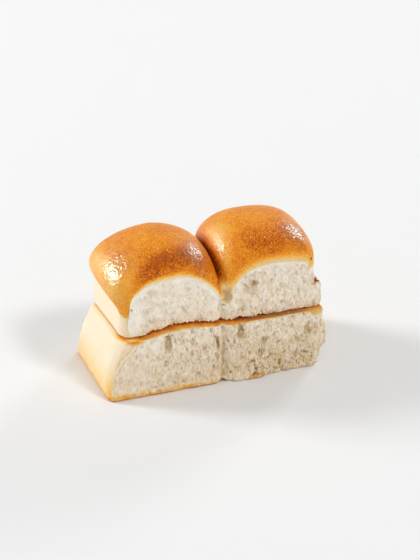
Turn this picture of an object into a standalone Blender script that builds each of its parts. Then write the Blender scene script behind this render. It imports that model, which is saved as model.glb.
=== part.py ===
"""A pair of pav buns that were baked side by side, torn from their slab and split flat into two halves.

The top half carries two browned domes. The bottom half has a flat browned base and a pale wall at its left, where
the tin held it. Both show torn crumb on their other sides. Each half starts as a box sliced into a grid, and every
grid point is carried to its place on the bread by the functions below.

Metres, +Z up. The origin is the middle of the underside, +X runs along the pair, and -Y is the shown torn side.
"""

import math

import bmesh
import bpy
from mathutils import Vector, noise

MM = 0.001
COLLECTION = "pav_bun_pair"

# Plan of the pair. Each bun is about 70 mm wide, and they have grown together at the crease.
CREASE_X = 3.5 * MM
BASE_LEFT, BASE_RIGHT = -77.5 * MM, 76 * MM
BASE_FRONT, BASE_BACK = -36 * MM, 38.5 * MM
SPLIT_LEFT = -67.5 * MM  # the bottom half narrows to this at the split
WALL_LEFT, TOP_RIGHT = -66 * MM, 74.5 * MM  # the top half at the split
TOP_FRONT, TOP_BACK = -30.6 * MM, 36.6 * MM

# Heights above the table.
SPLIT_Z = 42.6 * MM
SPLIT_CROWN, SPLIT_CROWN_X, SPLIT_CROWN_WIDTH = 4.2 * MM, -26.5 * MM, 24 * MM
SPLIT_GAP = 0.4 * MM
WALL_TOP = 62 * MM  # the pale wall of the top half ends here, and the dome bulges over it

# The arch is where the crust ends on the torn sides, and the ridge is the top line of the domes.
ARCH_LEFT, ARCH_RIGHT = -60 * MM, 68 * MM
RIDGE_LEFT, RIDGE_RIGHT = -72.5 * MM, 74 * MM
CREASE_ARCH, CREASE_RIDGE = 58.5 * MM, 81 * MM
CLEFT = 6 * MM  # the right bun's arch starts this far from the crease, which opens the cleft at the torn sides
DOME_EXPONENT = 0.86  # from arch to ridge: 1 is a half ellipse, and less is fuller

# One bun's line from its left foot to its right foot: foot, top, foot, place of the top, fullness of each side.
LEFT_ARCH = (60 * MM, 83.2 * MM, CREASE_ARCH, 0.56, 2.6, 1.6)
RIGHT_ARCH = (CREASE_ARCH, 83.2 * MM, 73 * MM, 0.48, 2.0, 2.3)
LEFT_RIDGE = (76 * MM, 99.6 * MM, CREASE_RIDGE, 0.56, 1.75, 1.75)
RIGHT_RIDGE = (CREASE_RIDGE, 100.9 * MM, 75 * MM, 0.41, 2.3, 2.5)

# Round edges, and round corners in plan.
BASE_ROUND, SPLIT_ROUND, TOP_ROUND = 3 * MM, 1.8 * MM, 2.5 * MM
CORNER_FOOT, CORNER_SPLIT, CORNER_WALL, CORNER_RIGHT = 6 * MM, 12 * MM, 9 * MM, 5 * MM
WALL_BOW = 0.85  # how the left wall of the bottom half bows out on its way down

# The torn crumb: broad lumps, and smaller crags on them.
LUMP_SIZE, LUMP_DEPTH = 15 * MM, 1.5 * MM
CRAG_SIZE, CRAG_DEPTH = 5.5 * MM, 1.1 * MM
CREASE_WIDTH, CREASE_DEPTH = 2.6 * MM, 2.6 * MM
NOTCH_WIDTH, NOTCH_HEIGHT, NOTCH_REACH = 8 * MM, 3.4 * MM, 12 * MM  # the crease's end in the underside
LIP_FROM, LIP_TO, LIP_REACH, LIP_HEIGHT = 5 * MM, 34.5 * MM, 2.8 * MM, 9 * MM
TEAR_REACH = 12 * MM  # the relief dies away this far inside the split faces
FADE_UNDER_CRUST, FADE_OVER_BASE = 6 * MM, 2 * MM  # the crumb is smooth this close to the crust and the base

# Open cells in the shown side of the bottom half: x, z, half width, half height, depth.
CELLS = (
    (-37 * MM, 38 * MM, 4 * MM, 8.5 * MM, 2.8 * MM),
    (14.4 * MM, 37 * MM, 2.6 * MM, 6.5 * MM, 2.4 * MM),
    (-1.2 * MM, 32 * MM, 2.2 * MM, 5.5 * MM, 2 * MM),
    (30.8 * MM, 26.5 * MM, 3 * MM, 5 * MM, 2 * MM),
    (62.5 * MM, 29 * MM, 3.2 * MM, 7 * MM, 1.6 * MM),
)

# Grid lines along X in each bun, along Y, and along Z.
TOP_GRID = (25, 18, 13)
BOTTOM_GRID = (25, 12, 13)
GATHER_X, GATHER_Z = 0.72, 0.5  # how much the grid gathers at its ends: 0 is even, and 1 is a cosine


def mix(a, b, t):
    return a + (b - a) * t


def ease(t):
    t = min(1.0, max(0.0, t))
    return t * t * (3 - 2 * t)


def gathered(t, amount):
    """t from 0 to 1, with steps that shrink towards both ends."""
    return mix(t, 0.5 - 0.5 * math.cos(math.pi * t), amount)


def bell(x, middle, width):
    """1 at the middle, falling to 0 on both sides."""
    return math.exp(-(((x - middle) / width) ** 2))


def bun_of(u):
    """Which bun u lies in, and how far across it: the pair's u is 0.5 at the crease."""
    left = u <= 0.5
    return left, 2 * u if left else 2 * u - 1


def hump(line, t):
    """The height of one bun's arch or ridge at t, from 0 at its left foot to 1 at its right foot."""
    left_foot, top, right_foot, peak, left_full, right_full = line
    if t < peak:
        foot, away, full = left_foot, 1 - t / peak, left_full
    else:
        foot, away, full = right_foot, (t - peak) / (1 - peak), right_full
    return mix(foot, top, max(0.0, 1 - away**full) ** (1 / full))


def split_height(x, y):
    """The split is nearly flat, a little higher under the left bun."""
    wave = 0.35 * MM * noise.noise(Vector((x, y, 0)) / (22 * MM))
    return SPLIT_Z + SPLIT_CROWN * bell(x, SPLIT_CROWN_X, SPLIT_CROWN_WIDTH) + wave


def drawn_in(height, radius):
    """How far a side draws in at this height above (or below) an edge of that radius."""
    if height >= radius:
        return 0.0
    return radius - math.sqrt(radius * radius - (radius - height) ** 2)


def rounded(x, y, corner_x, corner_y, radius):
    """Pulls a point near an upright corner on to a round of that radius."""
    out_x, out_y = math.copysign(1, corner_x), math.copysign(1, corner_y)
    dx = (x - corner_x) * out_x + radius
    dy = (y - corner_y) * out_y + radius
    if dx <= 0 or dy <= 0:
        return x, y
    shrink = 1 - max(dx, dy) / math.hypot(dx, dy)
    return x - out_x * dx * shrink, y - out_y * dy * shrink


def torn(x, y, z, seed):
    """How far the torn crumb stands out of its plane here."""
    at = Vector((x, y, z))
    lump = noise.noise(at / LUMP_SIZE + Vector((seed, 0, 0)))
    crag = noise.noise(at / CRAG_SIZE + Vector((0, seed, 0)))
    return LUMP_DEPTH * lump + CRAG_DEPTH * crag


def tear(x, y, z, front, back, right, amount, seed):
    """Moves a point near the front, the back or the right end out by the relief of the torn crumb."""
    outward = max(0.0, 1 - (back - y) / TEAR_REACH) - max(0.0, 1 - (y - front) / TEAR_REACH)
    rightward = max(0.0, 1 - (right - x) / TEAR_REACH)
    y += outward * amount * (torn(x, y, z, seed) - CREASE_DEPTH * bell(x, CREASE_X, CREASE_WIDTH))
    x += rightward * amount * torn(x, y, z, seed + 3)
    return x, y


def open_cells(x, z):
    """The depth of the open cells at a point of the shown side."""
    depth = 0.0
    for cell_x, cell_z, half_width, half_height, deepest in CELLS:
        away = ((x - cell_x) / half_width) ** 2 + ((z - cell_z) / half_height) ** 2
        depth = max(depth, deepest * (1 - away))
    return depth


def lip(x, z):
    """How far the foot of the right bun stands forward on the shown side."""
    along = (x - LIP_FROM) / (LIP_TO - LIP_FROM)
    return LIP_REACH * ease(along * 3) * ease((1 - along) * 5) * ease(1 - z / LIP_HEIGHT)


def top_half(u, v, w):
    """A grid point of the top half. Its crust is a loft from the front arch over the ridge to the back arch."""
    left, t = bun_of(u)
    across = gathered(t, GATHER_X)
    rise = math.sin(math.pi * v) ** DOME_EXPONENT
    if left:
        split_x = mix(WALL_LEFT, CREASE_X, across)
        crust_x = mix(mix(ARCH_LEFT, CREASE_X, across), mix(RIDGE_LEFT, CREASE_X, across), rise)
        crust_z = mix(hump(LEFT_ARCH, across), hump(LEFT_RIDGE, across), rise)
    else:
        split_x = mix(CREASE_X, TOP_RIGHT, across)
        crust_x = mix(mix(CREASE_X + CLEFT, ARCH_RIGHT, across), mix(CREASE_X, RIDGE_RIGHT, across), rise)
        crust_z = mix(hump(RIGHT_ARCH, across), hump(RIGHT_RIDGE, across), rise)
    over = 0.5 - 0.5 * math.cos(math.pi * v)
    y = mix(TOP_FRONT, TOP_BACK, over)
    split_z = split_height(split_x, y) + SPLIT_GAP

    high = gathered(w, GATHER_Z)
    z = mix(split_z, crust_z, high)
    lean = high
    if u == 0:  # the wall stands straight, and the dome bulges out over it
        above = max(0.0, (z - WALL_TOP) / max(crust_z - WALL_TOP, 1 * MM))
        lean = math.sin(min(1.0, above) * math.pi / 2)
    x = mix(split_x, crust_x, lean)

    inward = drawn_in(z - split_z, TOP_ROUND)
    x += inward * (1 - 2 * u)
    y += inward * (1 - 2 * over)
    for corner_y in (TOP_FRONT, TOP_BACK):
        x, y = rounded(x, y, WALL_LEFT, corner_y, CORNER_WALL)
        x, y = rounded(x, y, mix(TOP_RIGHT, ARCH_RIGHT, high), corner_y, CORNER_RIGHT)
    from_wall = ease(t / 0.12) if left else 1
    right = mix(TOP_RIGHT, ARCH_RIGHT, high)
    x, y = tear(x, y, z, TOP_FRONT, TOP_BACK, right, from_wall * ease((crust_z - z) / FADE_UNDER_CRUST), seed=1)
    return x, y, z


def bottom_half(u, v, w):
    """A grid point of the bottom half: a block with a flat base whose left wall bows out on its way down."""
    left, t = bun_of(u)
    across = gathered(t, GATHER_X)
    over = 0.5 - 0.5 * math.cos(math.pi * v)
    high = gathered(w, GATHER_Z)
    y = mix(BASE_FRONT, BASE_BACK, over)
    wall_x = mix(SPLIT_LEFT, BASE_LEFT, (1 - high * high) ** WALL_BOW)
    x = mix(wall_x, CREASE_X, across) if left else mix(CREASE_X, BASE_RIGHT, across)
    split_z = split_height(x, y)
    z = split_z * high

    inward = drawn_in(z, BASE_ROUND) + drawn_in(split_z - z, SPLIT_ROUND)
    x += inward * (1 - 2 * u)
    y += inward * (1 - 2 * over)
    for corner_y in (BASE_FRONT, BASE_BACK):
        x, y = rounded(x, y, wall_x, corner_y, mix(CORNER_FOOT, CORNER_SPLIT, high))
        x, y = rounded(x, y, BASE_RIGHT, corner_y, CORNER_RIGHT)
    from_wall = ease(t / 0.2) if left else 1
    x, y = tear(x, y, z, BASE_FRONT, BASE_BACK, BASE_RIGHT, from_wall * ease(z / FADE_OVER_BASE), seed=7)
    if v == 0:
        y += open_cells(x, z) - lip(x, z)
    z += NOTCH_HEIGHT * ease(1 - abs(x - CREASE_X) / NOTCH_WIDTH) * max(0.0, 1 - z / NOTCH_REACH)
    return x, y, z


def material(name, colour, roughness):
    made = bpy.data.materials.new(name)
    made.use_nodes = True
    made.diffuse_color = (*colour, 1)
    shader = made.node_tree.nodes["Principled BSDF"]
    shader.inputs["Base Color"].default_value = (*colour, 1)
    shader.inputs["Roughness"].default_value = roughness
    shader.inputs["Metallic"].default_value = 0
    return made


def bread(name, grid, place, surfaces, collection):
    """A box sliced into a grid, with every point of it carried to its place by the function."""
    per_bun, deep, high = grid
    bm = bmesh.new()
    bmesh.ops.create_cube(bm, size=1)
    bmesh.ops.translate(bm, verts=bm.verts, vec=(0.5, 0.5, 0.5))
    torn_side, wall, base, top = range(4)
    for face in bm.faces:
        facing = tuple(round(c) for c in face.normal)
        face.material_index = {(-1, 0, 0): wall, (0, 0, -1): base, (0, 0, 1): top}.get(facing, torn_side)
    for axis, parts in enumerate((2 * per_bun, deep, high)):
        normal = Vector((0, 0, 0))
        normal[axis] = 1
        for k in range(1, parts):
            every = bm.verts[:] + bm.edges[:] + bm.faces[:]
            bmesh.ops.bisect_plane(bm, geom=every, plane_co=normal * (k / parts), plane_no=normal)
    for vertex in bm.verts:
        u, v, w = (round(c, 6) for c in vertex.co)
        vertex.co = place(u, v, w)
    for face in bm.faces:
        if face.material_index == wall and face.calc_center_median().z > WALL_TOP:
            face.material_index = top
    bmesh.ops.recalc_face_normals(bm, faces=bm.faces)
    mesh = bpy.data.meshes.new(name)
    bm.to_mesh(mesh)
    bm.free()
    for surface in surfaces:
        mesh.materials.append(surface)
    mesh.shade_smooth()
    obj = bpy.data.objects.new(name, mesh)
    collection.objects.link(obj)
    return obj


def main():
    for obj in list(bpy.data.objects):
        bpy.data.objects.remove(obj)
    collection = bpy.data.collections.new(COLLECTION)
    bpy.context.scene.collection.children.link(collection)
    crumb = material("soft_crumb", (0.75, 0.63, 0.46), 0.9)
    skin = material("pale_skin", (0.9, 0.74, 0.46), 0.6)
    crust = material("browned_crust", (0.6, 0.2, 0.035), 0.38)
    split = material("toasted_split", (0.62, 0.32, 0.1), 0.7)
    # In turn: the torn sides, the left wall, the underside and the top.
    bread("bottom_half", BOTTOM_GRID, bottom_half, (crumb, skin, crust, split), collection)
    bread("top_half", TOP_GRID, top_half, (crumb, skin, split, crust), collection)


main()
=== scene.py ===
"""A pair of pav buns that were baked side by side, torn from their slab and split flat into two halves.

Each half is one closed mesh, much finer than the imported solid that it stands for: torn crumb with its open
cells at the front, the back and the right end, a pale wall at the left, and browned crust above and below.
Metres, +Z up.
"""

import bmesh
import bpy
import numpy as np
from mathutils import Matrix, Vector, noise


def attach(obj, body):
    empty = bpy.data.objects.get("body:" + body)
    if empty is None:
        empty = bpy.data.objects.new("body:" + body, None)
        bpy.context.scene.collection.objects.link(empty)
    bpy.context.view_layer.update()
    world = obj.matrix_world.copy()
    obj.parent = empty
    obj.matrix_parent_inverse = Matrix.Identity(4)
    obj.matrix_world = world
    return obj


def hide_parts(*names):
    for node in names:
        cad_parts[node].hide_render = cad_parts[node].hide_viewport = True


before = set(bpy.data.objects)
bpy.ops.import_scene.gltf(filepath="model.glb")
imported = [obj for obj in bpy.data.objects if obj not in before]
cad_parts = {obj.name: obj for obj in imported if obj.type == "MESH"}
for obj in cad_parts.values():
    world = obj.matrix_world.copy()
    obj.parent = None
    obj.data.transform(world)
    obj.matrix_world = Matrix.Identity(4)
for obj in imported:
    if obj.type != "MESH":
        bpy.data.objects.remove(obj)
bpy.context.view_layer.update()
MM = 0.001

# --- Bottom half: form ----------------------------------------------------------------------------------
# The lower block of bread. Its base lay on the baking sheet and its left wall against the tin, so both are
# skin. Its other sides were torn from the neighbouring buns. It is a box of grid cells, carried to its form.

CREASE_X = 3.5 * MM
BASE_LEFT, BASE_RIGHT = -77.5 * MM, 76 * MM
BASE_FRONT, BASE_BACK = -36 * MM, 38.5 * MM
SPLIT_LEFT = -67.5 * MM
SPLIT_Z = 42.6 * MM
SPLIT_CROWN, SPLIT_CROWN_X, SPLIT_CROWN_WIDTH = 4.2 * MM, -26.5 * MM, 24 * MM
WALL_BOW = 0.85
BASE_ROUND, SPLIT_ROUND = 2.4 * MM, 0.9 * MM
# The split dips towards the back left corner: how deep, from where in y and over what length, and where in x.
SPLIT_DIP, SPLIT_DIP_FROM, SPLIT_DIP_LENGTH = 3.6 * MM, -16 * MM, 54 * MM
SPLIT_DIP_RIGHT, SPLIT_DIP_LEFT = -15 * MM, -65 * MM
SPLIT_WAVE, SPLIT_WAVE_SIZE = 0.35 * MM, 22 * MM
CORNER_FOOT, CORNER_SPLIT, CORNER_RIGHT = 6 * MM, 14 * MM, 5 * MM
LUMP_SIZE, LUMP_DEPTH = 15 * MM, 1.5 * MM
CRAG_SIZE, CRAG_DEPTH = 5.5 * MM, 1.1 * MM
CREASE_WIDTH, CREASE_DEPTH = 2.6 * MM, 2.6 * MM
NOTCH_X, NOTCH_WIDTH, NOTCH_HEIGHT, NOTCH_REACH = 2.4 * MM, 5 * MM, 2.8 * MM, 12 * MM
LIP_FROM, LIP_TO, LIP_REACH, LIP_HEIGHT = 5 * MM, 34.5 * MM, 2.8 * MM, 9 * MM
TEAR_REACH = 12 * MM
FADE_OVER_BASE = 2 * MM
# How far the right end stands out of its plane: the heights, and the distance at each.
RIGHT_HEIGHTS = np.array((0, 8, 16, 22, 28, 35, 43)) * MM
RIGHT_OUT = np.array((-3.5, -1.5, 0.8, 1.6, 0.6, -1, -1.6)) * MM
RIGHT_CORNER_FOOT = 25 * MM  # below this height the right corners get rounder, to twice the radius

SIDES = {"left": (0, 0), "right": (0, 1), "front": (1, 0), "back": (1, 1), "base": (2, 0), "top": (2, 1)}
BOTTOM_GRID = (324, 162, 94)  # cells along X, Y and Z
BOTTOM_STEPS = {"left": 2, "right": 1, "front": 1, "back": 1, "base": 6, "top": 3}


def mix(a, b, t):
    return a + (b - a) * t


def ease(t):
    t = np.clip(t, 0, 1)
    return t * t * (3 - 2 * t)


def rise(x, start, end):
    """From 0 at the start to 1 at the end, smoothly. The end may be the lesser of the two."""
    return ease((x - start) / (end - start))


def gathered(t, amount):
    """t from 0 to 1, with steps that shrink towards both ends."""
    return mix(t, 0.5 - 0.5 * np.cos(np.pi * t), amount)


def bell(x, middle, width):
    """1 at the middle, falling to 0 on both sides."""
    return np.exp(-(((x - middle) / width) ** 2))


def lumps(points, size, shift=(0, 0, 0)):
    """Smooth noise from about -1 to 1 at each point, with lumps of this size."""
    places = points / size + np.array(shift)
    return np.array([noise.noise(place) for place in places.tolist()])


def cell_ring(a, b, step, count_a, count_b):
    """The grid places round one cell of a side, in turn. An edge on the side's rim keeps all its places."""
    ring = [(i, b) for i in (range(a, a + step) if b == 0 else (a,))]
    ring += [(a + step, j) for j in (range(b, b + step) if a + step == count_a else (b,))]
    ring += [(i, b + step) for i in (range(a + step, a, -1) if b + step == count_b else (a + step,))]
    ring += [(a, j) for j in (range(b + step, b, -1) if a == 0 else (b + step,))]
    return ring


def box_grid(counts, steps):
    """The skin of a unit box sliced into a grid: its points, its faces, and the side each face lies on."""
    number, faces, sides = {}, [], []
    for side, (axis, end) in SIDES.items():
        across, up = (axis + 1) % 3, (axis + 2) % 3
        for a in range(0, counts[across], steps[side]):
            for b in range(0, counts[up], steps[side]):
                place = [0, 0, 0]
                place[axis] = end * counts[axis]
                face = []
                for place[across], place[up] in cell_ring(a, b, steps[side], counts[across], counts[up]):
                    face.append(number.setdefault(tuple(place), len(number)))
                faces.append(face if end else face[::-1])
                sides.append(side)
    return np.array(list(number)) / np.array(counts), faces, sides


def split_height(x, y):
    """The split is nearly flat, a little higher under the left bun, and dips towards the back left corner."""
    wave = SPLIT_WAVE * lumps(np.stack([x, y, 0 * x], 1), SPLIT_WAVE_SIZE)
    dip = SPLIT_DIP * np.clip((y - SPLIT_DIP_FROM) / SPLIT_DIP_LENGTH, 0, 1)
    dip = dip * rise(x, SPLIT_DIP_RIGHT, SPLIT_DIP_LEFT)
    return SPLIT_Z + SPLIT_CROWN * bell(x, SPLIT_CROWN_X, SPLIT_CROWN_WIDTH) + wave - dip


def drawn_in(height, radius):
    """How far a side draws in at this height above (or below) an edge of that radius."""
    under = np.clip(radius - height, 0, radius)
    return radius - np.sqrt(radius * radius - under * under)


def rounded(x, y, corner_x, corner_y, radius):
    """Pulls the points near an upright corner on to a round of that radius."""
    out_x, out_y = np.sign(corner_x), np.sign(corner_y)
    dx = (x - corner_x) * out_x + radius
    dy = (y - corner_y) * out_y + radius
    near_x, near_y = np.clip(dx / radius, 0, 1), np.clip(dy / radius, 0, 1)
    pulled_x = np.clip(dx, 0, None) * (1 - np.sqrt(1 - near_y**2 / 2))
    pulled_y = np.clip(dy, 0, None) * (1 - np.sqrt(1 - near_x**2 / 2))
    return x - out_x * pulled_x, y - out_y * pulled_y


def torn(x, y, z, seed):
    """How far the torn crumb stands out of its plane here: broad lumps, and smaller crags on them."""
    at = np.stack([x, y, z], 1)
    return LUMP_DEPTH * lumps(at, LUMP_SIZE, (seed, 0, 0)) + CRAG_DEPTH * lumps(at, CRAG_SIZE, (0, seed, 0))


def tear(x, y, z, front, back, right, amount, seed):
    """Moves the points near the front, the back or the right end out by the relief of the torn crumb."""
    outward = np.clip(1 - (back - y) / TEAR_REACH, 0, None) - np.clip(1 - (y - front) / TEAR_REACH, 0, None)
    rightward = np.clip(1 - (right - x) / TEAR_REACH, 0, None)
    moved_y = outward * amount * (torn(x, y, z, seed) - CREASE_DEPTH * bell(x, CREASE_X, CREASE_WIDTH))
    y = y + moved_y
    x = x + rightward * amount * torn(x, y, z, seed + 3)
    return x, y


def bun_of(u):
    """Which bun each u lies in, and how far across it: the pair's u is 0.5 at the crease."""
    left = u <= 0.5
    return left, np.where(left, 2 * u, 2 * u - 1)


def bottom_form(u, v, w):
    """The bottom half without its crumb: a block with a flat base and a left wall that bows out downwards."""
    left, t = bun_of(u)
    across = gathered(t, 0.3)
    over = gathered(v, 0.3)
    y = mix(BASE_FRONT, BASE_BACK, over)
    wall_x = mix(SPLIT_LEFT, BASE_LEFT, (1 - w * w) ** WALL_BOW)
    x = np.where(left, mix(wall_x, CREASE_X, across), mix(CREASE_X, BASE_RIGHT, across))
    split_z = split_height(x, y)
    z = split_z * w

    inward = drawn_in(z, BASE_ROUND) + drawn_in(split_z - z, SPLIT_ROUND)
    x = x + inward * (1 - 2 * u)
    y = y + inward * (1 - 2 * over)
    for corner_y in (BASE_FRONT, BASE_BACK):
        x, y = rounded(x, y, wall_x, corner_y, mix(CORNER_FOOT, CORNER_SPLIT, w))
        x, y = rounded(x, y, BASE_RIGHT, corner_y, mix(2, 1, rise(z, 0, RIGHT_CORNER_FOOT)) * CORNER_RIGHT)
    from_wall = np.where(left, ease(t / 0.2), 1)
    x, y = tear(x, y, z, BASE_FRONT, BASE_BACK, BASE_RIGHT, from_wall * ease(z / FADE_OVER_BASE), seed=7)
    along = (x - LIP_FROM) / (LIP_TO - LIP_FROM)
    lip = LIP_REACH * ease(along * 3) * ease((1 - along) * 5) * ease(1 - z / LIP_HEIGHT)
    y = y - np.where(v == 0, lip, 0)
    z = z + NOTCH_HEIGHT * ease(1 - abs(x - NOTCH_X) / NOTCH_WIDTH) * np.clip(1 - z / NOTCH_REACH, 0, None)
    x = x + np.interp(z, RIGHT_HEIGHTS, RIGHT_OUT) * ease(1 - (BASE_RIGHT - x) / TEAR_REACH)
    return np.stack([x, y, z], 1)


# --- Bottom half: crumb ---------------------------------------------------------------------------------
# Torn crumb is a foam of thin walls round open cells, drawn upwards as the dough rose, with shreds where it
# parted. The cells are pressed into the torn sides, and each point's depth is kept to darken the hollows
# with painted shade.

# Foam layers: cell width, how much taller the cells are than wide, share of them open, depth.
FOAM = (
    (4.4 * MM, 1.9, 0.3, 0.85 * MM),
    (2.3 * MM, 1.8, 0.5, 0.75 * MM),
    (1.3 * MM, 1.5, 0.7, 0.45 * MM),
)
FOAM_WARP = 0.6  # how far the cells are pulled out of shape, as a share of their width
SHRED_WIDTH, SHRED_LENGTH, SHRED_DEPTH = 1.1 * MM, 7 * MM, 0.25 * MM
FOAM_PROUD = 0.3 * MM  # how far the walls of the foam stand out of the plain form
# The hollows' painted shade grows with their depth, and is full at these depths.
FOAM_SHADE, CELL_SHADE = 2.3 * MM, 2.7 * MM  # the depths at which foam and open cells are all in shade
CELL_WARP, CELL_WARP_SIZE = 1.4 * MM, 3 * MM  # how far the outlines of open cells wander

# Open cells in the shown side of the bottom half: x, z, half width, half height, depth.
BOTTOM_CELLS = (
    (-35.6 * MM, 37.5 * MM, 2.9 * MM, 8.5 * MM, 2.2 * MM),
    (14.6 * MM, 36 * MM, 2.9 * MM, 7.5 * MM, 2.9 * MM),
    (-1.2 * MM, 31 * MM, 2 * MM, 6.5 * MM, 2.2 * MM),
    (30.8 * MM, 26.5 * MM, 3 * MM, 5 * MM, 1.2 * MM),
    (62.5 * MM, 29 * MM, 3.2 * MM, 7 * MM, 1.6 * MM),
    (38.6 * MM, 30.5 * MM, 1.6 * MM, 3.4 * MM, 1.2 * MM),
    (54.5 * MM, 23.5 * MM, 2 * MM, 3.6 * MM, 1.4 * MM),
    (23.6 * MM, 13.4 * MM, 2.2 * MM, 2 * MM, 1.6 * MM),
    (33.4 * MM, 13 * MM, 2.6 * MM, 2 * MM, 1.2 * MM),
    (60 * MM, 13.5 * MM, 3.5 * MM, 1.8 * MM, 1.2 * MM),
    (25.5 * MM, 7 * MM, 1.6 * MM, 1.5 * MM, 1.4 * MM),
    (46 * MM, 15 * MM, 1.5 * MM, 2.2 * MM, 1.2 * MM),
)


def open_cells(points, cells):
    """The depth of the named open cells at points of the shown side."""
    warp = np.stack([lumps(points, CELL_WARP_SIZE, (k, 9, k)) for k in range(3)], 1)
    wavy = points + CELL_WARP * warp
    depth = np.zeros(len(points))
    for cell_x, cell_z, half_width, half_height, deepest in cells:
        away = ((wavy[:, 0] - cell_x) / half_width) ** 2 + ((wavy[:, 2] - cell_z) / half_height) ** 2
        depth = np.maximum(depth, 0.8 * deepest * ease(1 - away))
    return depth


def foam(points, seed):
    """The depth of the foam's open cells at each point, and the walls between them as 0."""
    depth = np.zeros(len(points))
    for layer, (width, tall, share, deepest) in enumerate(FOAM):
        places = points / (width, width, width * tall)
        warp = [lumps(places, 1.6, (seed + k, layer, k)) for k in range(3)]
        places = places + FOAM_WARP * np.stack(warp, 1) + seed
        hollow = []
        for place in places.tolist():
            distances, centres = noise.voronoi(place)
            chance = noise.cell(centres[0] * 7.3)
            open_here = min(1.0, (distances[1] - distances[0]) * 2.6) if chance < share else 0.0
            hollow.append(open_here * (0.45 + 0.55 * chance / share))
        depth += deepest * ease(np.array(hollow))
    return depth


def shreds(points, seed):
    """Upright shreds of crumb that stand a little proud."""
    places = points / (SHRED_WIDTH, SHRED_WIDTH, SHRED_LENGTH)
    return SHRED_DEPTH * lumps(places, 1, (seed, seed, 0))


def crumbed(points, u, v, fade, frayed, sunk, cells, seed):
    """Presses the foam into the torn sides. Returns the points, and how hollow each is from 0 to 1 for
    painted shade.
    """
    torn_side = (v == 0) | (v == 1) | (u == 1)
    at = points[torn_side]
    depth = foam(at, seed)
    # Painted shade: the deeper the foam and the open cells, the darker their colour.
    shade = depth / FOAM_SHADE
    shown = v[torn_side] == 0
    opened = open_cells(at[shown], cells)
    depth[shown] += opened
    shade[shown] = shade[shown] * (1 - np.clip(opened / MM, 0, 0.6)) + opened / CELL_SHADE
    relief = np.zeros(len(points))
    relief[torn_side] = (shreds(at, seed) * (1 + frayed[torn_side]) + FOAM_PROUD - depth) * fade[torn_side]
    relief[torn_side] -= sunk[torn_side]
    hollow = np.zeros(len(points))
    hollow[torn_side] = shade
    points = points.copy()
    points[:, 1] += np.where(v == 0, -relief, 0) + np.where(v == 1, relief, 0)
    points[:, 0] += np.where(u == 1, relief, 0)
    return points, np.clip(hollow, 0, 1) * fade


def bread_mesh(name, points, faces, sides, materials, values):
    """One half as a mesh: its faces, each side's material, and the values that colour it, point by point."""
    mesh = bpy.data.meshes.new(name)
    mesh.from_pydata(points.tolist(), [], faces)
    for material in dict.fromkeys(materials.values()):
        mesh.materials.append(material)
    slots = {side: mesh.materials.find(material.name) for side, material in materials.items()}
    mesh.polygons.foreach_set("material_index", [slots[side] for side in sides])
    for value_name, value in values.items():
        mesh.attributes.new(value_name, "FLOAT", "POINT").data.foreach_set("value", value.astype(np.float32))
    mesh.shade_smooth()
    mesh.validate()
    made = bpy.data.objects.new(name, mesh)
    bpy.context.scene.collection.objects.link(made)
    return made


# --- Bottom half: colours and materials -----------------------------------------------------------------
# One browning value runs over crumb and crust alike: 0 is pale skin, and 1 is the darkest crust. The group
# turns it into colour, so that crumb and crust have the same colour where they meet.

BAKED_COLOURS = (
    (0.00, (0.88, 0.76, 0.59)),
    (0.12, (0.87, 0.67, 0.39)),
    (0.27, (0.85, 0.53, 0.17)),
    (0.44, (0.83, 0.38, 0.035)),
    (0.62, (0.79, 0.245, 0.006)),
    (0.82, (0.54, 0.115, 0.006)),
    (1.00, (0.28, 0.045, 0.004)),
)


def add_node(tree, kind, inputs=None, **settings):
    """Adds a node, with its settings, and with numbers or links for its inputs."""
    made = tree.nodes.new(kind)
    for setting, value in settings.items():
        setattr(made, setting, value)
    for socket, value in (inputs or {}).items():
        if isinstance(value, bpy.types.NodeSocket):
            tree.links.new(value, made.inputs[socket])
        else:
            made.inputs[socket].default_value = value
    return made


def add_math(tree, operation, first, second=0.0, third=0.0, clamp=False):
    inputs = {0: first, 1: second, 2: third}
    return add_node(tree, "ShaderNodeMath", inputs, operation=operation, use_clamp=clamp).outputs[0]


def add_blend(tree, share, first, second):
    """A colour between two colours."""
    made = add_node(tree, "ShaderNodeMix", {0: share, 6: first, 7: second}, data_type="RGBA")
    return made.outputs[2]


def add_value(tree, name):
    """A value kept on the mesh's points."""
    return add_node(tree, "ShaderNodeAttribute", attribute_name=name).outputs["Fac"]


def add_place(tree, width, tall):
    """The place on the piece in cells of this width, and so many times as tall as they are wide."""
    place = add_node(tree, "ShaderNodeTexCoord").outputs["Object"]
    size = (1 / width, 1 / width, 1 / (width * tall))
    return add_node(tree, "ShaderNodeVectorMath", {0: place, 1: size}, operation="MULTIPLY").outputs[0]


def add_noise(tree, size, detail=2.0, rough=0.5, tall=1.0):
    """Noise from 0 to 1 whose patches have this size."""
    inputs = {"Vector": add_place(tree, size, tall), "Scale": 1.0, "Detail": detail, "Roughness": rough}
    return add_node(tree, "ShaderNodeTexNoise", inputs).outputs["Fac"]


def add_range(tree, value, start, end, at_start, at_end, kind="LINEAR"):
    """A value carried from one range to another."""
    inputs = {"Value": value, 1: start, 2: end, 3: at_start, 4: at_end}
    return add_node(tree, "ShaderNodeMapRange", inputs, interpolation_type=kind).outputs[0]


def add_pores(tree, width, tall, share, edge=0.45):
    """Small pores of uneven shape: 0 between them, and 1 in their middles."""
    place = add_place(tree, width, tall)
    pulled = add_node(tree, "ShaderNodeTexNoise", {"Vector": place, "Scale": 0.9, "Detail": 2.0})
    inputs = {0: place, 1: pulled.outputs["Color"]}
    place = add_node(tree, "ShaderNodeVectorMath", inputs, operation="ADD").outputs[0]
    cells = add_node(tree, "ShaderNodeTexVoronoi", {"Vector": place, "Scale": 1.0})
    near = add_range(tree, cells.outputs["Distance"], edge, 0.1, 0.0, 1.0, "SMOOTHSTEP")
    chance = add_node(tree, "ShaderNodeSeparateColor", {0: cells.outputs["Color"]}).outputs[0]
    return add_math(tree, "MULTIPLY", near, add_math(tree, "LESS_THAN", chance, share))


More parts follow.
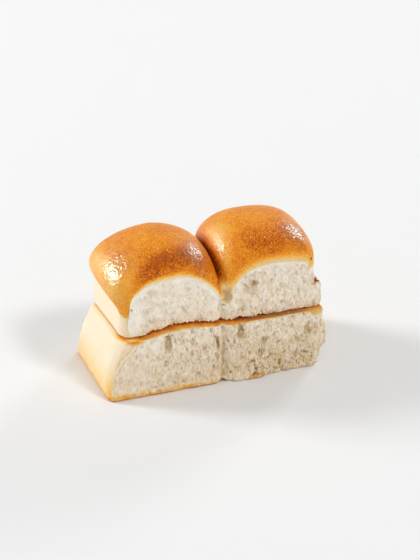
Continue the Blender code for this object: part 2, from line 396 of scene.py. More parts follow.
baked_colour = bpy.data.node_groups.new("baked_colour", "ShaderNodeTree")
baked_colour.interface.new_socket("Browning", in_out="INPUT", socket_type="NodeSocketFloat")
baked_colour.interface.new_socket("Blotches", in_out="INPUT", socket_type="NodeSocketFloat")
baked_colour.interface.new_socket("Color", in_out="OUTPUT", socket_type="NodeSocketColor")
group_in = add_node(baked_colour, "NodeGroupInput")
group_out = add_node(baked_colour, "NodeGroupOutput")
broad = add_math(baked_colour, "MULTIPLY", add_noise(baked_colour, 6 * MM, 2.0), 0.6)
uneven = add_math(baked_colour, "MULTIPLY_ADD", add_noise(baked_colour, 1.1 * MM, 3.0, 0.75), 2.7, broad)
uneven = add_math(baked_colour, "SUBTRACT", uneven, 1.65)
uneven = add_math(baked_colour, "MULTIPLY", uneven, group_in.outputs["Blotches"])
more = add_math(baked_colour, "MULTIPLY_ADD", group_in.outputs["Browning"], 1.3, 0.15)
uneven = add_math(baked_colour, "MULTIPLY", uneven, more)
browned = add_math(baked_colour, "ADD", group_in.outputs["Browning"], uneven, clamp=True)
ramp = add_node(baked_colour, "ShaderNodeValToRGB", {"Fac": browned})
while len(ramp.color_ramp.elements) < len(BAKED_COLOURS):
    ramp.color_ramp.elements.new(0.5)
for element, (place, colour) in zip(ramp.color_ramp.elements, BAKED_COLOURS):
    element.position = place
    element.color = (*colour, 1)
baked_colour.links.new(ramp.outputs["Color"], group_out.inputs["Color"])


def add_baked_colour(tree, browning, blotches):
    made = add_node(tree, "ShaderNodeGroup", node_tree=baked_colour)
    tree.links.new(browning, made.inputs["Browning"])
    made.inputs["Blotches"].default_value = blotches
    return made.outputs["Color"]


CRUMB_LIGHT = (0.98, 0.885, 0.755, 1)
CRUMB_DENSE = (1.0, 0.94, 0.84, 1)
CRUMB_LIT_FLECK = (1.0, 0.91, 0.78, 1)
CRUMB_SHADE = (0.77, 0.62, 0.41, 1)
CRUMB_WARM = (0.76, 0.56, 0.30, 1)
# CRUMB_HOLLOW is the painted shade of the crumb's cells and crevices; on the crust it also gives a darker
# tint.
CRUMB_HOLLOW = (0.50, 0.32, 0.13, 1)

crumb = bpy.data.materials.new("torn_crumb")
crumb.use_nodes = True
tree = crumb.node_tree
shader = tree.nodes["Principled BSDF"]
fibres = add_noise(tree, 0.85 * MM, 2.0, 0.6, 2.6)
fibrous = add_math(tree, "MULTIPLY_ADD", add_value(tree, "open"), 1.0, 0.1)
shade = add_math(tree, "MULTIPLY", add_math(tree, "SUBTRACT", fibres, 0.5), fibrous)
shade = add_math(tree, "MULTIPLY_ADD", add_noise(tree, 3.2 * MM, 4.0, 0.55, 1.5), 2.6, shade)
shade = add_math(tree, "SUBTRACT", shade, 1.06, clamp=True)
shade = add_math(tree, "MULTIPLY", shade, add_math(tree, "MULTIPLY_ADD", add_value(tree, "open"), 0.65, 0.35))
colour = add_blend(tree, shade, CRUMB_LIGHT, CRUMB_SHADE)
dense = add_math(tree, "MULTIPLY_ADD", add_value(tree, "hollow"), 1.5, add_value(tree, "open"))
dense = add_math(tree, "MULTIPLY_ADD", dense, -1.0, 1.0, clamp=True)
colour = add_blend(tree, dense, colour, CRUMB_DENSE)
warmth = add_math(tree, "MULTIPLY", add_value(tree, "warmth"), add_noise(tree, 9 * MM, 3.0), clamp=True)
colour = add_blend(tree, warmth, colour, CRUMB_WARM)
# Pores, cells and crevices blend towards CRUMB_HOLLOW: painted shade where less light reaches.
small_pores = add_pores(tree, 1.9 * MM, 1.9, 0.6)
fine_pores = add_pores(tree, 1.0 * MM, 1.4, 0.75)
pores = add_math(tree, "MULTIPLY_ADD", small_pores, 0.36, add_math(tree, "MULTIPLY", fine_pores, 0.16))
pores = add_math(tree, "MULTIPLY", pores, add_math(tree, "POWER", add_value(tree, "open"), 1.5))
pores = add_math(tree, "ADD", pores, add_math(tree, "MULTIPLY", add_value(tree, "hollow"), 0.9), clamp=True)
colour = add_blend(tree, pores, colour, CRUMB_HOLLOW)
# Pale flecks: painted light on the crumb's thin walls.
lit_flecks = add_math(tree, "MULTIPLY", add_pores(tree, 2.0 * MM, 2.2, 0.4, 0.5), add_value(tree, "open"))
lit_fleck_share = add_math(tree, "MINIMUM", add_math(tree, "MULTIPLY", lit_flecks, 0.45), 0.6)
colour = add_blend(tree, lit_fleck_share, colour, CRUMB_LIT_FLECK)
browning = add_value(tree, "browning")
browned_share = add_math(tree, "MULTIPLY", browning, 9.0, clamp=True)
colour = add_blend(tree, browned_share, colour, add_baked_colour(tree, browning, 0.12))
tree.links.new(colour, shader.inputs["Base Color"])
shader.inputs["Roughness"].default_value = 0.85
shader.inputs["Subsurface Weight"].default_value = 0.3
shader.inputs["Subsurface Radius"].default_value = (1.6 * MM, 1.0 * MM, 0.6 * MM)
shader.inputs["Subsurface Scale"].default_value = 1
fine = add_math(tree, "SUBTRACT", add_noise(tree, 0.45 * MM, 1.0), add_math(tree, "MULTIPLY", fibres, 1.5))
fine = add_math(tree, "ADD", add_math(tree, "SUBTRACT", fine, pores), add_math(tree, "MULTIPLY", lit_flecks, 0.6))
bump = add_node(tree, "ShaderNodeBump", {"Height": fine, "Strength": 1.0, "Distance": 0.5 * MM})
tree.links.new(bump.outputs[0], shader.inputs["Normal"])

crust = bpy.data.materials.new("baked_crust")
crust.use_nodes = True
tree = crust.node_tree
shader = tree.nodes["Principled BSDF"]
glaze = add_value(tree, "glaze")
# Blisters are lighter where glazed: partly their own paler colour, partly painted glints.
blisters = add_pores(tree, 1.9 * MM, 1.0, 0.6, 0.3)
lighter = add_math(tree, "MULTIPLY", add_math(tree, "MULTIPLY", blisters, glaze), -0.45)
# Fine dots of painted glint, stronger on browner crust.
glint_dots = add_pores(tree, 1.8 * MM, 1.0, 0.16, 0.32)
glint_dots = add_math(tree, "MULTIPLY", glint_dots, add_value(tree, "browning"))
lighter = add_math(tree, "MULTIPLY_ADD", glint_dots, -0.6, lighter)
browning = add_math(tree, "ADD", add_value(tree, "browning"), lighter, clamp=True)
# The hollow value darkens the crust: painted shade in the cleft and along the base's crease, and a real
# darker tint under thick milk glaze, in the flakes' spots and on the toasted split.
shade_and_tint = add_math(tree, "MULTIPLY", add_value(tree, "hollow"), 0.8, clamp=True)
colour = add_blend(tree, shade_and_tint, add_baked_colour(tree, browning, 0.42), CRUMB_HOLLOW)
tree.links.new(colour, shader.inputs["Base Color"])
roughness = add_math(tree, "MULTIPLY_ADD", glaze, -0.5, 0.57)
roughness = add_math(tree, "MULTIPLY_ADD", add_noise(tree, 1.6 * MM, 2.0), 0.16, roughness)
tree.links.new(roughness, shader.inputs["Roughness"])
tree.links.new(add_math(tree, "MULTIPLY_ADD", glaze, 0.3, 0.04), shader.inputs["Specular IOR Level"])
shader.inputs["Subsurface Weight"].default_value = 0.1
shader.inputs["Subsurface Radius"].default_value = (2.0 * MM, 0.9 * MM, 0.4 * MM)
shader.inputs["Subsurface Scale"].default_value = 1
leather = add_math(tree, "MULTIPLY", add_noise(tree, 1.7 * MM, 2.0, 0.5), 1.5)
leather = add_math(tree, "MULTIPLY_ADD", blisters, 1.0, leather)
leather = add_math(tree, "MULTIPLY_ADD", add_noise(tree, 6 * MM, 1.0, 0.5), 1.3, leather)
leather = add_math(tree, "MULTIPLY", leather, add_math(tree, "MULTIPLY_ADD", glaze, 0.8, 0.2))
bump = add_node(tree, "ShaderNodeBump", {"Height": leather, "Strength": 1.0, "Distance": 0.4 * MM})
tree.links.new(bump.outputs[0], shader.inputs["Normal"])

# --- Bottom half: the piece -----------------------------------------------------------------------------
# The grid is carried to its form, the foam is pressed into the torn sides, and every point gets its browning.
# The base and the foot of the wall are golden brown, the split is toasted, and the wall is pale, as in a tin.

# The line on the torn side at which the wall's skin ends: its heights, and its x at each.
SKIN_HEIGHTS = np.array((0, 8, 18, 30, 42)) * MM
SKIN_ENDS = np.array((-74.6, -74.6, -73.4, -66.5, -56)) * MM
# Thin brown lines beside that end, where the skin is folded: how far past it, and how brown.
SKIN_FOLDS = ((-1.4 * MM, 0.24), (0.5 * MM, 0.2))
SKIN_FOLD_WIDTH = 0.7 * MM
CREASE_SKIN_WIDTH = 1.5 * MM

# How coarse the foam is, how much more so at the foot of the right bun, and how much less beside the wall.
COARSE, COARSER_AT_RIGHT_FOOT, FINER_BY_WALL = 1.3, 0.8, 0.5
DENSE_X, DENSE_Z, DENSE_WIDTH = -45 * MM, 38 * MM, 5 * MM  # a smooth patch beside the largest open cell

# How brown the torn sides are: the foot of the left bun and the thin rim under it, the edge of the split, the
# skin beside the wall, the ledge at the front left corner, and the damp right end of the split.
FOOT_BROWN, FOOT_RIM_BROWN, SPLIT_EDGE_BROWN = 0.32, 0.4, 0.28
SKIN_BROWN, LEDGE_BROWN, DAMP_BROWN = 0.1, 0.64, 0.29
LEDGE_X, LEDGE_HALF, DAMP_FROM, DAMP_TO = -59 * MM, 9 * MM, 62 * MM, 67 * MM

# How brown the wall is, and how much more so in its lower part, at its foot, and under the split.
WALL_BROWN, WALL_LOW_BROWN, WALL_FOOT_BROWN, WALL_EDGE_BROWN = 0.02, 0.18, 0.46, 0.12
WALL_LOW, WALL_FOOT, WALL_EDGE = 28 * MM, 4 * MM, 1.6 * MM

params, faces, sides = box_grid(BOTTOM_GRID, BOTTOM_STEPS)
u, v, w = params.T
points = bottom_form(u, v, w)
x, y, z = points.T
split_z = split_height(x, y)
uneven = lumps(points, 4 * MM, (3, 1, 4))
broken = 0.75 + 0.5 * lumps(points, 3 * MM, (5, 5, 5))

# Skin closes the foam beside the wall and along the crease, and the foam is coarser under the right bun.
past_skin = x - np.interp(z, SKIN_HEIGHTS, SKIN_ENDS) + 0.7 * MM * uneven
crease_x = mix(CREASE_X, NOTCH_X, rise(z, 30 * MM, 0)) - 1.4 * MM * uneven
crease_skin = bell(x, crease_x, CREASE_SKIN_WIDTH) * broken * mix(1.1, 0.6, rise(z, 22 * MM, 34 * MM))
crease_skin = np.clip(crease_skin * (u > 0) * (u < 1), 0, 1)
closed = np.maximum(0.7 * crease_skin, rise(past_skin, 2 * MM, 0))
coarse = COARSE + COARSER_AT_RIGHT_FOOT * rise(x, 5 * MM, 25 * MM) * rise(z, 30 * MM, 0)
coarse -= FINER_BY_WALL * rise(x, -42 * MM, -54 * MM)
dense = bell(x, DENSE_X, DENSE_WIDTH) * bell(z, DENSE_Z, DENSE_WIDTH) * (v == 0)
fade = rise(z, 0, 1.5 * MM) * (1 - closed) * coarse * (1 - 0.7 * dense)
points, hollow = crumbed(points, u, v, fade, 0 * u, 0 * u, BOTTOM_CELLS, seed=11)
# Painted shade along the crease between the buns.
hollow = np.maximum(hollow, 1.15 * crease_skin)
x, y, z = points.T
below = split_z - z
spotted = lumps(points, 1.5 * MM, (2, 7, 1))

# The torn sides.
foot_height = (6 + 2 * uneven + 1.5 * spotted + 2.5 * rise(x, -50 * MM, -65 * MM)) * MM
foot = (FOOT_BROWN + 0.16 * uneven + 0.1 * spotted) * ease(1.4 * (1 - z / foot_height))
foot += FOOT_RIM_BROWN * ease(1.5 * (1 - z / ((1.3 + 0.5 * uneven) * MM)))
foot *= rise(x, 6 * MM, -6 * MM)
split_edge = SPLIT_EDGE_BROWN * rise(below, (0.7 + 0.5 * uneven) * MM, 0)
skin = SKIN_BROWN + 0.09 * ease(1.3 - z / (26 * MM)) + 0.04 * uneven
skin *= rise(past_skin, 0, -1.2 * MM) * (u < 0.5)
ledge = ease(1 - abs(x - LEDGE_X) / LEDGE_HALF) * ease(1.3 - below / ((3 + uneven) * MM)) * (y < 0)
damp = rise(x, DAMP_FROM, DAMP_TO) * rise(below, (5 + 2 * uneven) * MM, 0)
browned_parts = [foot, split_edge, skin, LEDGE_BROWN * ledge, (DAMP_BROWN + 0.08 * uneven) * damp]
for fold_at, fold_brown in SKIN_FOLDS:
    fold = bell(past_skin, fold_at * (1 + 0.6 * broken), SKIN_FOLD_WIDTH) * ease(broken + 0.3 * spotted)
    browned_parts.append(fold_brown * fold * (u > 0))
torn_browning = np.maximum.reduce(browned_parts)

# The wall, golden towards its foot, its front and the split.
wall_browning = WALL_BROWN + WALL_LOW_BROWN * rise(z, WALL_LOW, 0) + WALL_FOOT_BROWN * rise(z, WALL_FOOT, 0)
wall_browning += WALL_EDGE_BROWN * rise(below, WALL_EDGE, 0)
wall_browning += 0.1 * rise(y, BASE_FRONT + 16 * MM, BASE_FRONT) * ease(1.4 - z / (26 * MM))
wall_browning += 0.26 * rise(below, (2.2 + 1.2 * spotted) * MM, 0) * rise(y, -4 * MM, -24 * MM)

# The split, darker further in where the top half overhangs it: partly toast, partly painted shade.
# Its front edge is pale under the right bun, and so are both its ends.
in_front = y - BASE_FRONT
pale_edge = rise(x, 8 * MM, 33 * MM) * rise(x, 66 * MM, 58 * MM)
pale_to = 0.9 * MM * pale_edge * (1 + uneven)
split_browning = mix(0.24, 0.1, pale_edge) + 0.3 * rise(in_front, pale_to, pale_to + 1.4 * MM)
split_browning += 0.32 * pale_edge * rise(in_front, 1.2 * MM, 2.2 * MM)
split_browning += 0.2 * pale_edge * rise(in_front, 1.8 * MM, 2.8 * MM)
split_browning += 0.25 * rise(in_front, 3 * MM, 6 * MM) + 0.15 * uneven + 0.1 * bell(x, -50 * MM, 5 * MM)
split_browning -= 0.2 * rise(x, -54 * MM, -59 * MM) + 0.16 * rise(x, 56 * MM, 65 * MM)
split_browning = mix(split_browning, 0.14, rise(x, -59 * MM, -63 * MM) * rise(y, -26 * MM, -17 * MM))
split_hollow = np.where(y < 0, (0.5 + 0.4 * spotted) * mix(0.3, 1, pale_edge), hollow)
split_glaze = 0.4 + 0.5 * rise(x, 45 * MM, 55 * MM)

base_browning = 0.6 + 0.12 * uneven + 0.12 * lumps(points, 18 * MM) - 0.2 * crease_skin
on_split, on_base, on_wall = w == 1, w == 0, u == 0
brownings = [split_browning, base_browning, wall_browning]
values = {
    "browning": np.select([on_split, on_base, on_wall], brownings, torn_browning),
    "glaze": np.select([on_split, on_wall], [split_glaze, 0.1], 0.8 * damp),
    # hollow: painted shade in the torn sides' cells and along the crease, also on the base; a toasted tint on
    # the split.
    "hollow": np.select([on_split, on_base], [split_hollow, 0.3 * crease_skin], hollow),
    "open": fade,
    "warmth": ease(1.15 - z / (44 * MM)) * (0.7 + 0.42 * rise(x, -30 * MM, 30 * MM)),
}
SIDE_MATERIALS = {"left": crust, "right": crumb, "front": crumb, "back": crumb, "base": crust, "top": crust}
bottom = bread_mesh("bottom_bread", points, faces, sides, SIDE_MATERIALS, values)
bottom_front = points[v == 0]
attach(bottom, "root")
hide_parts("bottom_half")

# --- Top half: form -------------------------------------------------------------------------------------
# Two domes, grown together at the crease. The crust is a loft from the front arch over the ridge to the back
# arch, and the left dome bulges out over its pale wall.

WALL_LEFT, TOP_RIGHT = -66 * MM, 74.5 * MM
TOP_FRONT, TOP_BACK = -30.6 * MM, 36.6 * MM
SPLIT_GAP = 0.4 * MM
WALL_TOP, BULGE_UNDER_CRUST = 62 * MM, 5 * MM  # the bulge starts at one or the other, whichever is lower
ARCH_LEFT, ARCH_RIGHT = -62.3 * MM, 68 * MM
RIDGE_LEFT, RIDGE_RIGHT = -72.5 * MM, 74 * MM
CREASE_ARCH, CREASE_RIDGE = 58.5 * MM, 81 * MM
DOME_EXPONENT, EDGE_EXPONENT = 0.86, 0.64  # how the crust climbs to its ridge: the domes, and the left edge
# Arches and ridges: the heights of their left foot, top and right foot, where across the bun the top is, and
# how full the curve is at its left and at its right.
LEFT_ARCH = (60 * MM, 83.2 * MM, CREASE_ARCH, 0.56, 2.6, 1.6)
RIGHT_ARCH = (CREASE_ARCH, 83.2 * MM, 73 * MM, 0.48, 2.0, 2.3)
LEFT_RIDGE = (76 * MM, 99.6 * MM, CREASE_RIDGE, 0.56, 1.75, 1.75)
RIGHT_RIDGE = (CREASE_RIDGE, 100.9 * MM, 75 * MM, 0.41, 2.3, 2.5)
# The floor of the cleft: its width at the arch and at the ridge, its dip, and its share of the bun's columns.
CLEFT, CLEFT_AT_RIDGE, CLEFT_DIP, CLEFT_SHARE = 6 * MM, 0.6 * MM, 1 * MM, 0.05
TOP_ROUND, CORNER_WALL, CORNER_DOME = 2.5 * MM, 9 * MM, 9 * MM
FADE_UNDER_CRUST = 6 * MM
FRAY_SIZE, FRAY_HEIGHT = 1.5 * MM, 4 * MM
# Where the crumb's edge is drawn up over the split, and how widely, as shares of the pair's length.
NOTCH_U, NOTCH_U_WIDTH = 0.588, 0.02
# How far the right end of the top half stands out of its plane: the heights, and the distance at each.
TOP_RIGHT_HEIGHTS = np.array((43, 49, 57, 62, 70, 77, 83)) * MM
TOP_RIGHT_OUT = np.array((1, 2.4, 2.2, -0.2, -1, -0.8, 0.3)) * MM

TOP_GRID = (324, 162, 90)
TOP_STEPS = {"left": 2, "right": 1, "front": 1, "back": 1, "base": 6, "top": 2}

# Open cells in the shown side of the top half, as in BOTTOM_CELLS.
TOP_CELLS = (
    (-44.3 * MM, 74.5 * MM, 2.6 * MM, 2.6 * MM, 0.9 * MM),
    (-26.8 * MM, 67.5 * MM, 2.6 * MM, 2.2 * MM, 0.8 * MM),
    (-37.8 * MM, 65 * MM, 4.6 * MM, 3.2 * MM, 0.9 * MM),
    (20.8 * MM, 64.5 * MM, 1.9 * MM, 5.4 * MM, 1.3 * MM),
    (26.5 * MM, 66.5 * MM, 2.1 * MM, 5.6 * MM, 1.5 * MM),
    (47.8 * MM, 61.8 * MM, 1.5 * MM, 3.4 * MM, 1.1 * MM),
    (45.8 * MM, 50.3 * MM, 2 * MM, 2.4 * MM, 1.1 * MM),
)


def hump(line, t):
    """The height of one bun's arch or ridge at t, from 0 at its left foot to 1 at its right foot."""
    left_foot, top, right_foot, peak, left_full, right_full = line
    rising = t < peak
    foot = np.where(rising, left_foot, right_foot)
    away = np.where(rising, 1 - t / peak, (t - peak) / (1 - peak))
    full = np.where(rising, left_full, right_full)
    return mix(foot, top, np.clip(1 - away**full, 0, None) ** (1 / full))


def ragged_edge(u, v):
    """The radius of the rounding above the split, which wanders where the crumb hangs down in shreds."""
    around = np.stack([u * (TOP_RIGHT - WALL_LEFT), v * (TOP_BACK - TOP_FRONT), 0 * u], 1)
    wander = ease(0.42 + 0.7 * lumps(around, FRAY_SIZE) + 0.6 * lumps(around, 4 * FRAY_SIZE))
    calm = mix(ease((u - 0.07) / 0.06), 0.35, ease((u - 0.7) / 0.06))
    notch = bell(u, NOTCH_U, NOTCH_U_WIDTH) * (v < 0.5)
    return np.where(u == 0, 0.4, np.maximum(mix(0.15, 1.15, wander * calm), 1.45 * notch)) * TOP_ROUND


def top_form(u, v, w):
    """The top half without its crumb."""
    left, t = bun_of(u)
    climb = np.sin(np.pi * v) ** DOME_EXPONENT
    edge_climb = np.sin(np.pi * v) ** EDGE_EXPONENT
    over = 0.5 - 0.5 * np.cos(np.pi * v)
    in_cleft = np.clip(t / CLEFT_SHARE, 0, 1)
    across = gathered(np.where(left, t, np.clip((t - CLEFT_SHARE) / (1 - CLEFT_SHARE), 0, 1)), 0.55)

    left_x = mix(mix(ARCH_LEFT, CREASE_X, across), mix(RIDGE_LEFT, CREASE_X, across), climb)
    left_climb = mix(edge_climb, climb, ease(across / 0.2))
    left_z = mix(hump(LEFT_ARCH, across), hump(LEFT_RIDGE, across), left_climb)
    arch_x = mix(CREASE_X + CLEFT * in_cleft, ARCH_RIGHT, across)
    right_x = mix(arch_x, mix(CREASE_X + CLEFT_AT_RIDGE * in_cleft, RIDGE_RIGHT, across), climb)
    arch_z = hump(RIGHT_ARCH, across) - CLEFT_DIP * np.sin(np.pi * in_cleft)
    right_z = mix(arch_z, hump(RIGHT_RIDGE, across), climb)
    crust_x = np.where(left, left_x, right_x)
    crust_z = np.where(left, left_z, right_z)

    split_x = np.where(left, mix(WALL_LEFT, CREASE_X, t), mix(CREASE_X, TOP_RIGHT, t))
    y = mix(TOP_FRONT, TOP_BACK, over)
    split_z = split_height(split_x, y) + SPLIT_GAP
    z = mix(split_z, crust_z, w)
    bulge_from = np.minimum(WALL_TOP, crust_z - BULGE_UNDER_CRUST)
    above = np.clip((z - bulge_from) / (crust_z - bulge_from), 0, 1)
    bulging = ease(np.minimum(v, 1 - v) / 0.07) * ease(1 - t / 0.15)
    lean = np.where(left, mix(w, np.sin(above * np.pi / 2), bulging), w)
    x = mix(split_x, crust_x, lean)

    inward = drawn_in(z - split_z, ragged_edge(u, v))
    x = x + inward * (1 - 2 * u)
    y = y + inward * (1 - 2 * over)
    right = mix(TOP_RIGHT, ARCH_RIGHT, w)
    for corner_y in (TOP_FRONT, TOP_BACK):
        x, y = rounded(x, y, WALL_LEFT, corner_y, mix(CORNER_WALL, CORNER_DOME, w))
        x, y = rounded(x, y, right, corner_y, CORNER_RIGHT)
    from_wall = np.where(left, ease(t / 0.12), 1)
    amount = from_wall * ease((crust_z - z) / FADE_UNDER_CRUST)
    x, y = tear(x, y, z, TOP_FRONT, TOP_BACK, right, amount, seed=1)
    x = x + np.interp(z, TOP_RIGHT_HEIGHTS, TOP_RIGHT_OUT) * ease(1 - (right - x) / TEAR_REACH)
    return np.stack([x, y, z], 1)


# --- Top half: the piece --------------------------------------------------------------------------------
# The domes are brushed with milk and baked dark at their crowns, and pale to gold where the neighbours kept
# the heat off: towards the torn rims, the crease and the wall.

DENSE_UNDER_CRUST = 5.5 * MM
LEDGE_DEPTH = 0.8 * MM  # how far the torn crumb lies behind the crust's edge
GROOVE_DEPTH, GROOVE_WIDTH = 2.2 * MM, 1.3 * MM
FLAP_X, FLAP_WIDTH, FLAP_HEIGHT, FLAP_OUT = -53 * MM, 6 * MM, 7 * MM, 1.5 * MM
# The dome's crust ends in a tongue at the wall's upright edges. Its tip, and how fast its line rises from it.
TONGUE_X, TONGUE_Z = -62.3 * MM, 56.5 * MM
TONGUE_RISE_FRONT, TONGUE_RISE_WALL = 2.5, 0.6
# The line on the torn front at which the wall's skin ends: its heights, and its x at each.
WALL_SKIN_HEIGHTS = np.array((43, 47, 52, 57, 62)) * MM
WALL_SKIN_ENDS = np.array((-58, -60, -61, -62, -62)) * MM
# How brown the domes are, how much less so at their outer ends, and how much darker along the crease:
# painted shade of the deep slot between them.
DOME_BROWN, LEFT_END_PALER, RIGHT_END_PALER = 0.61, 0.24, 0.12
CREASE_SHADE_DARKER, CREASE_LINE_WIDTH = 0.45, 2.1 * MM
# How brown their rims are: at the left end, over the rest of the left bun, and over the right bun.
RIM_BROWN_AT_END, RIM_BROWN_LEFT, RIM_BROWN_RIGHT = 0.46, 0.14, 0.27
# How far in the pale rims reach: over the left bun, over the right bun, and at the back and the right end.
PALE_RIM_LEFT, PALE_RIM_RIGHT, PALE_RIM_BEHIND = 4.6 * MM, 6.5 * MM, 9 * MM
# How brown the split's edge is, as toast and painted shade of the gap over the bottom half, and the
# tongue on the wall and the tongue on the torn front.
TOASTED, TONGUE_ON_WALL, TONGUE_IN_FRONT = 0.9, 0.45, 0.47
# Darker marks of painted shade in the cleft: x, z, half width, half height.
CLEFT_SHADE_MARKS = (
    (5.4 * MM, 65 * MM, 1.8 * MM, 1.1 * MM),
    (9.4 * MM, 67.5 * MM, 0.8 * MM, 1.8 * MM),
    (7.2 * MM, 60.5 * MM, 1.6 * MM, 1.4 * MM),
)
# Where milk dried thick on the domes: x, y, half width, half depth, and how thick.
MILKY = (
    (-61 * MM, -13 * MM, 9.5 * MM, 12 * MM, 1.0),
    (-11 * MM, -18 * MM, 6 * MM, 10 * MM, 1.0),
    (9 * MM, -17 * MM, 3 * MM, 6 * MM, 0.4),
    (60 * MM, -16 * MM, 8 * MM, 10 * MM, 0.85),
)
# Dark places on the domes, and pale ones where the last number is below 0: x, y, half width, half depth, and
# how much darker than the rest.
DARK_CROWNS = (
    (-45 * MM, -28 * MM, 9 * MM, 7 * MM, 0.2),
    (-33 * MM, -24 * MM, 16 * MM, 9 * MM, 0.2),
    (-18 * MM, -21 * MM, 10 * MM, 9 * MM, 0.16),
    (-9 * MM, -15 * MM, 8 * MM, 12 * MM, 0.26),
    (63 * MM, -13 * MM, 7 * MM, 10 * MM, 0.2),
    (38 * MM, -22 * MM, 22 * MM, 10 * MM, 0.2),
    (56 * MM, -14 * MM, 10 * MM, 9 * MM, 0.08),
    (11 * MM, 0 * MM, 9 * MM, 14 * MM, -0.2),
    (9.5 * MM, -24 * MM, 4 * MM, 9 * MM, -0.14),
    (-61 * MM, -27 * MM, 6 * MM, 7 * MM, -0.14),
)

params, faces, sides = box_grid(TOP_GRID, TOP_STEPS)
u, v, w = params.T
points = top_form(u, v, w)
x, y, z = points.T
rims = [top_form(u, 0 * v, 0 * w + 1), top_form(u, 0 * v + 1, 0 * w + 1), top_form(0 * u + 1, v, 0 * w + 1)]
to_front, to_back, to_right = [np.linalg.norm(points - rim, axis=1) for rim in rims]
from_rim = np.minimum(to_front, np.minimum(to_back, to_right))
over_split = z - top_form(u, v, 0 * w)[:, 2]
on_dome = w == 1
on_wall = (u == 0) & ~on_dome
uneven = lumps(points, 4 * MM, (8, 2, 5))

# The crumb is dense under the crust and closed by skin beside the wall, and hangs in shreds over the split.
past_skin = x - np.interp(z, WALL_SKIN_HEIGHTS, WALL_SKIN_ENDS)
coarse = 0.75 + 0.35 * rise(x, 5 * MM, 20 * MM) + 0.2 * rise(z, 56 * MM, 48 * MM)
coarse *= 1 - 0.6 * rise(x, -50 * MM, -56 * MM)
fade = np.where(on_dome, 0, coarse * ease((from_rim - 0.5 * MM) / DENSE_UNDER_CRUST) * ease(u / 0.008))
fade *= rise(past_skin, 0, 1.5 * MM)
frayed = 1.6 * rise(over_split, FRAY_HEIGHT, 0)
ledge_from = (1.6 + uneven) * MM
sunk = LEDGE_DEPTH * (0.7 + 0.5 * uneven) * rise(from_rim, ledge_from, ledge_from + 0.9 * MM) * ease(u / 0.05)
points, hollow = crumbed(points, u, v, fade, frayed, np.where(on_dome, 0, sunk), TOP_CELLS, seed=23)
flap = bell(points[:, 0], FLAP_X, FLAP_WIDTH) * rise(over_split, FLAP_HEIGHT, 0) * (v == 0)
points[:, 1] -= FLAP_OUT * flap
broad = lumps(points, 16 * MM, (1, 6, 2))
groove = bell(points[:, 0], CREASE_X, GROOVE_WIDTH) * rise(from_rim, 0, 14 * MM) * on_dome
points[:, 2] -= GROOVE_DEPTH * groove
x, y, z = points.T
spotted = lumps(points, 2.2 * MM, (4, 4, 1))

# Painted shade in the cleft between the domes, with darker marks of painted shade in it.
shown_cleft = (u >= 0.5) & (v < 0.5)
cleft_foot = (51.5 + 3 * uneven) * MM
cleft_width = mix(1.4, 3.6, rise(z, 53 * MM, 62 * MM)) * MM
cleft_shade = bell(x, CREASE_X + cleft_width, cleft_width) * rise(z, 70 * MM, 64 * MM) * shown_cleft
cleft_shade *= rise(z, cleft_foot, cleft_foot + 6 * MM) * (1.05 + 1.3 * spotted)
for mark_x, mark_z, half_width, half_height in CLEFT_SHADE_MARKS:
    cleft_shade += 0.9 * bell(x, mark_x, half_width) * bell(z, mark_z, half_height) * shown_cleft

# The domes.
dome_browning = DOME_BROWN + 0.06 * broad
dome_browning -= LEFT_END_PALER * rise(x, -62 * MM, -70 * MM) + RIGHT_END_PALER * rise(x, 62 * MM, 70 * MM)
for dark_x, dark_y, half_width, half_depth, darker in DARK_CROWNS:
    dome_browning += darker * bell(x, dark_x, half_width) * bell(y, dark_y, half_depth)
# Painted shade in the deep crease between the domes.
dome_browning += CREASE_SHADE_DARKER * bell(x, CREASE_X, CREASE_LINE_WIDTH) * rise(z, 66 * MM, 72 * MM)
rim_left = mix(RIM_BROWN_AT_END, RIM_BROWN_LEFT, rise(x, -60 * MM, -48 * MM))
rim_browning = np.where(x < CREASE_X, rim_left, RIM_BROWN_RIGHT)
pale_rim = np.where(x < CREASE_X, PALE_RIM_LEFT, PALE_RIM_RIGHT) * mix(0.3, 1, rise(x, -60 * MM, -46 * MM))
reach = np.minimum(to_front / pale_rim, np.minimum(to_back, to_right) / PALE_RIM_BEHIND)
dome_browning = mix(rim_browning, dome_browning, ease(reach) ** 0.7)
in_cleft = bell(x, CREASE_X + 4 * MM, 6 * MM) * rise(z, 75 * MM, 67 * MM) * (u >= 0.5)
dome_browning = mix(dome_browning, 0.02 + 0.14 * rise(z, 60 * MM, 69 * MM), in_cleft)

# The tongues of crust, and the wall.
from_corner = np.minimum(y - TOP_FRONT, TOP_BACK - y) - 1.6 * MM
from_corner = np.clip(from_corner, 0, (WALL_TOP - TONGUE_Z) / TONGUE_RISE_WALL)
tongue_line = TONGUE_Z + TONGUE_RISE_WALL * from_corner + TONGUE_RISE_FRONT * np.clip(x - TONGUE_X, 0, None)
tongue = rise(z - tongue_line + 0.6 * MM * uneven, 0, 2 * MM) * rise(x, -59.6 * MM, -60.8 * MM)
wall_browning = 0.02 + TONGUE_ON_WALL * tongue + 0.22 * rise(over_split, 1.4 * MM, 0)
wall_browning += 0.07 * rise(y, TOP_FRONT + 7 * MM, TOP_FRONT)

